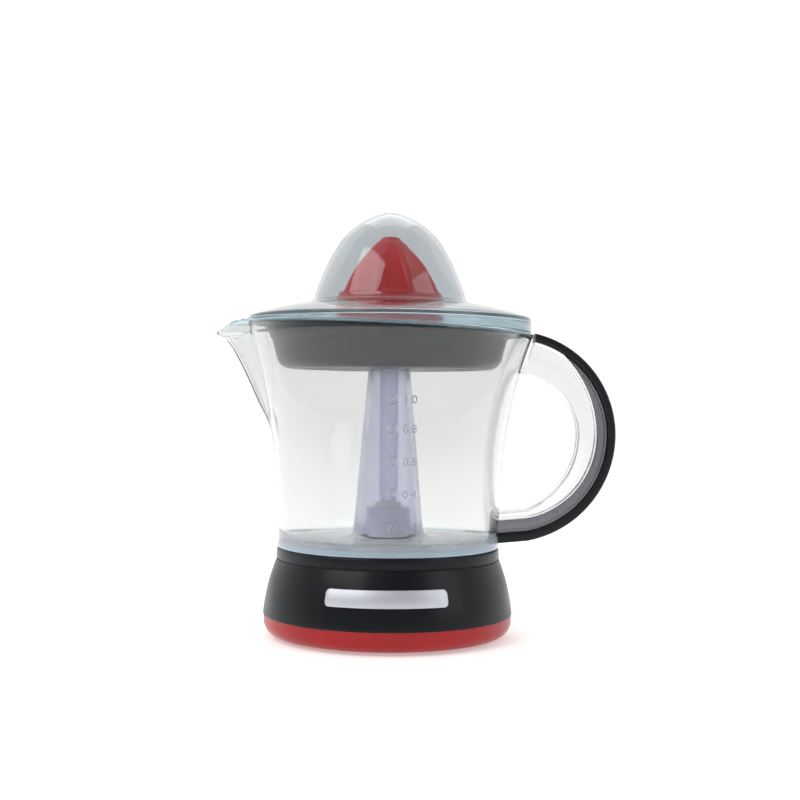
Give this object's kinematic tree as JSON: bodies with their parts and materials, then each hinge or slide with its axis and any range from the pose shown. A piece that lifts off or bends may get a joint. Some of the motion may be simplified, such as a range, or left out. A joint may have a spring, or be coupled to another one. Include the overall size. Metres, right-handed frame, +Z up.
{
  "type": "citrus press juicer",
  "caption": "Electric citrus juicer: black and red geared base, clear pouring jug with D handle, strainer, ribbed red reamer, clear domed lid.",
  "frame": {"origin": "on the juicer's vertical axis, in the plane its feet rest on", "axes": "+Z up, +X towards the handle, -X towards the spout, +Y to the rear, where the cord goes in"},
  "size_m": [0.221, 0.1586, 0.2332],
  "materials": {
    "housing_black": "moulded ABS, satin gloss",
    "skirt_red": "moulded ABS, gloss",
    "foot_rubber": "matt",
    "screw_steel": "zinc plated",
    "badge_silver": "brushed",
    "grommet_rubber": "matt",
    "plate_steel": "stamped sheet",
    "stator_steel": "laminated sheets",
    "coil_copper": "enamelled copper wire",
    "shaft_steel": "ground",
    "bush_bronze": "sintered bronze",
    "gear_nylon": "natural nylon",
    "hub_acetal": "white acetal",
    "switch_black": "moulded",
    "button_red": "moulded",
    "spindle_clear": "natural polypropylene",
    "jug_clear": "clear styrene-acrylonitrile",
    "insert_smoke": "smoke-grey translucent",
    "grip_black": "satin moulded",
    "strainer_grey": "satin moulded polypropylene",
    "reamer_red": "gloss moulded",
    "lid_clear": "clear styrene-acrylonitrile, light grey"
  },
  "bodies": {
    "base": {"base_housing": "housing_black", "base_skirt": "skirt_red", "rubber_feet": "foot_rubber", "base_screws": "screw_steel", "badge_plate": "badge_silver", "cord_grommet": "grommet_rubber", "gear_plate": "plate_steel", "plate_screws": "screw_steel", "stator_core": "stator_steel", "motor_coils": "coil_copper", "motor_bracket": "plate_steel", "motor_spacers": "plate_steel", "motor_screws": "screw_steel", "motor_bushes": "bush_bronze", "gear_axle": "shaft_steel", "axle_clip": "shaft_steel", "hub_bush": "bush_bronze", "return_spring": "shaft_steel", "switch_body": "switch_black"},
    "rotor": {"rotor_core": "stator_steel", "rotor_shaft": "shaft_steel", "motor_pinion": "bush_bronze"},
    "compound": {"compound_gear": "gear_nylon"},
    "thrust": {"thrust_cup": "hub_acetal"},
    "drive": {"drive_hub": "hub_acetal", "output_gear": "gear_nylon"},
    "switch_button": {"switch_button": "button_red"},
    "spindle": {"drive_spindle": "spindle_clear"},
    "jug": {"jug": "jug_clear", "handle_insert": "insert_smoke", "handle_grip": "grip_black"},
    "strainer": {"strainer": "strainer_grey"},
    "reamer": {"reamer_cone": "reamer_red"},
    "lid": {"lid": "lid_clear"}
  },
  "joints": [
    {"name": "cone_press", "type": "slide", "parent": "base", "child": "thrust", "axis": [0, 0, 1], "range_m": [-0.0025, 0], "stiffness_N_per_m": 600, "springref_m": 0.01, "deforming": ["return_spring"]},
    {"name": "drive_spin", "type": "hinge", "parent": "thrust", "child": "drive", "pos_m": [0, 0, 0], "axis": [0, 0, 1], "continuous": true},
    {"name": "compound_spin", "type": "hinge", "parent": "base", "child": "compound", "pos_m": [0.02532, 0.01609, 0.0315], "axis": [0, 0, 1], "continuous": true},
    {"name": "motor_spin", "type": "hinge", "parent": "base", "child": "rotor", "pos_m": [0.0385, 0, 0.018], "axis": [0, 0, 1], "continuous": true},
    {"name": "switch_press", "type": "slide", "parent": "base", "child": "switch_button", "axis": [0, 0, 1], "range_m": [-0.0025, 0], "stiffness_N_per_m": 60, "springref_m": 0.005},
    {"name": "jug_lift", "type": "slide", "parent": "base", "child": "jug", "axis": [0, 0, 1], "range_m": [0, 0.12]},
    {"name": "spindle_lift", "type": "slide", "parent": "drive", "child": "spindle", "axis": [0, 0, 1], "range_m": [0, 0.12]},
    {"name": "sieve_lift", "type": "slide", "parent": "jug", "child": "strainer", "axis": [0, 0, 1], "range_m": [0, 0.06]},
    {"name": "reamer_lift", "type": "slide", "parent": "spindle", "child": "reamer", "axis": [0, 0, 1], "range_m": [0, 0.06]},
    {"name": "lid_lift", "type": "slide", "parent": "strainer", "child": "lid", "axis": [0, 0, 1], "range_m": [0, 0.08]}
  ],
  "couplings": [
    {"joint": "compound_spin", "follows": "drive_spin", "ratio": -4},
    {"joint": "motor_spin", "follows": "drive_spin", "ratio": 13.333},
    {"joint": "switch_press", "follows": "cone_press", "ratio": 1},
    {"joint": "spindle_lift", "follows": "jug_lift", "ratio": 1},
    {"joint": "reamer_lift", "follows": "sieve_lift", "ratio": 1}
  ]
}
